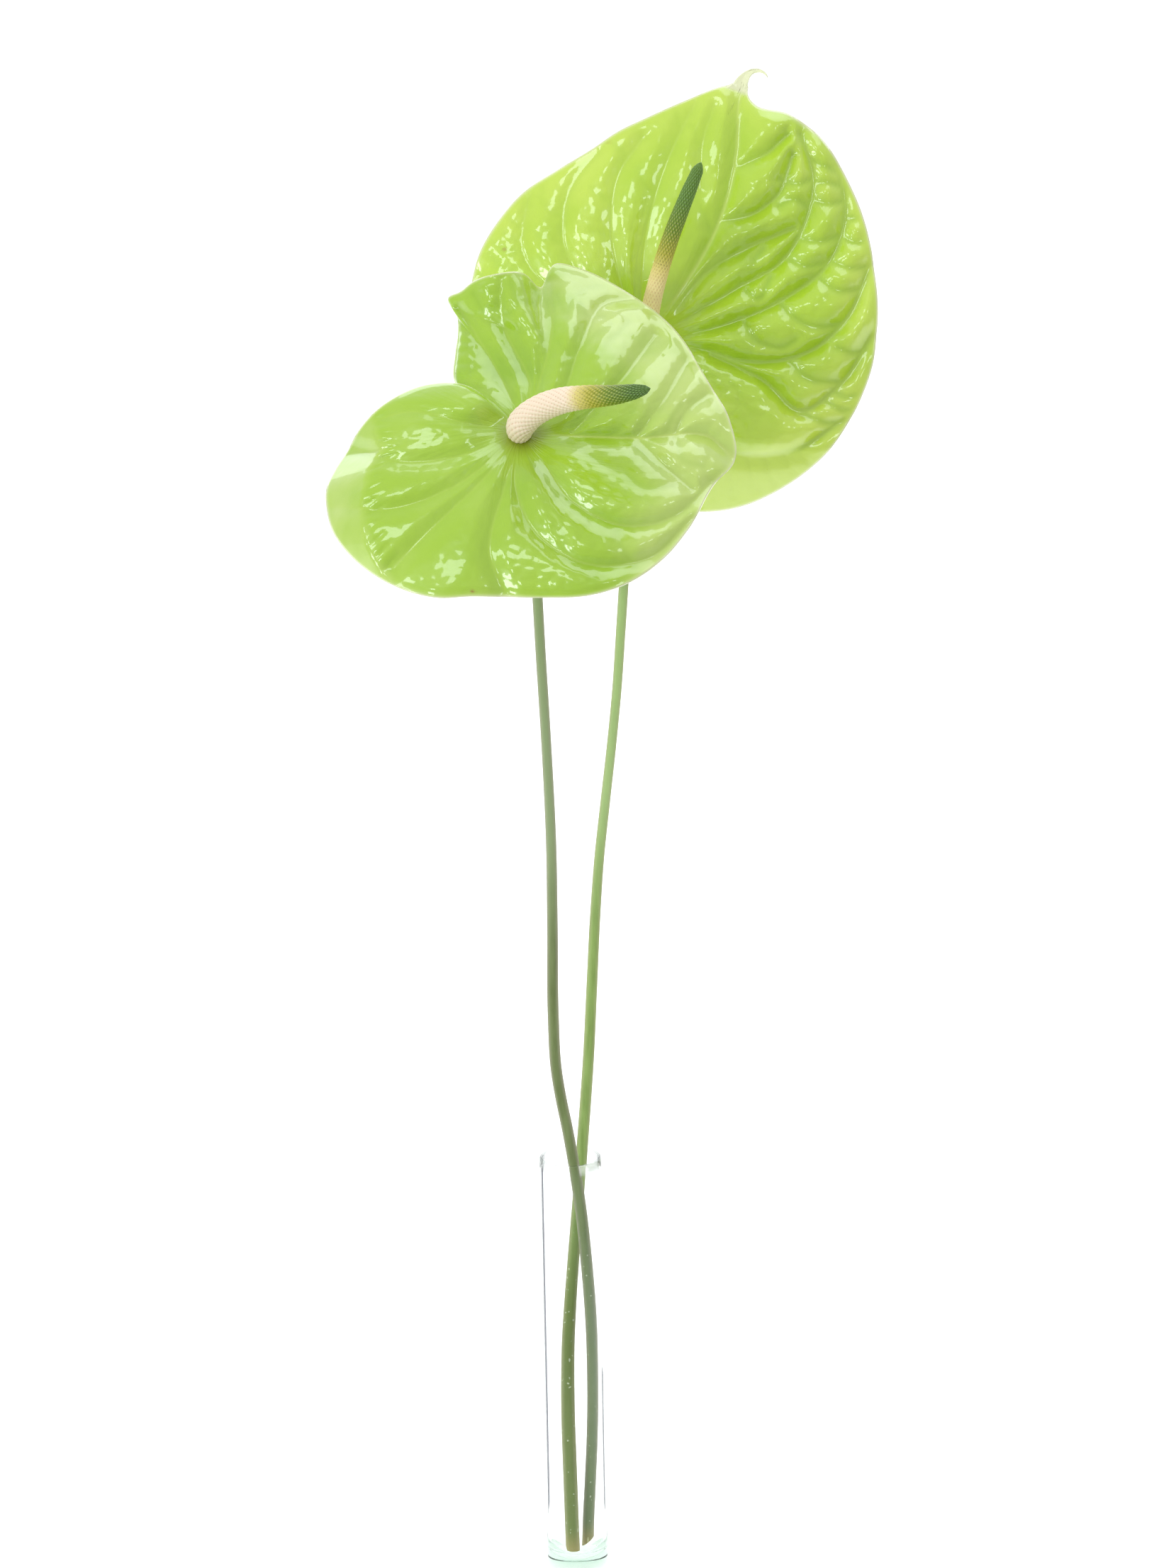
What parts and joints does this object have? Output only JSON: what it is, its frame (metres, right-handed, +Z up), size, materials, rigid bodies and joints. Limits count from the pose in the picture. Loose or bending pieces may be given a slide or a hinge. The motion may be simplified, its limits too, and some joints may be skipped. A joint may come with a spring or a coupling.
{
  "type": "cut flowers in vase",
  "caption": "Two cut anthurium flowers with waxy heart-shaped spathes, standing in a narrow clear glass tube vase.",
  "frame": {"origin": "middle of the underside of the vase", "axes": "+Z up along the vase, -Y the side that the spathes face, +X to the right seen from the front"},
  "size_m": [0.2417, 0.2155, 0.6763],
  "materials": {
    "clear_glass": "polished",
    "grey_green_stem": "satin",
    "olive_green_stem": "satin",
    "waxy_spathe": "gloss",
    "cream_florets": "satin",
    "green_florets": "satin"
  },
  "bodies": {
    "root": {"vase_glass": "clear_glass", "stem_front": "grey_green_stem", "stem_back": "olive_green_stem", "spathe_front": "waxy_spathe", "spathe_back": "waxy_spathe", "spadix_front_base": "cream_florets", "spadix_front_tip": "green_florets", "spadix_back_base": "cream_florets", "spadix_back_tip": "green_florets"}
  },
  "joints": []
}
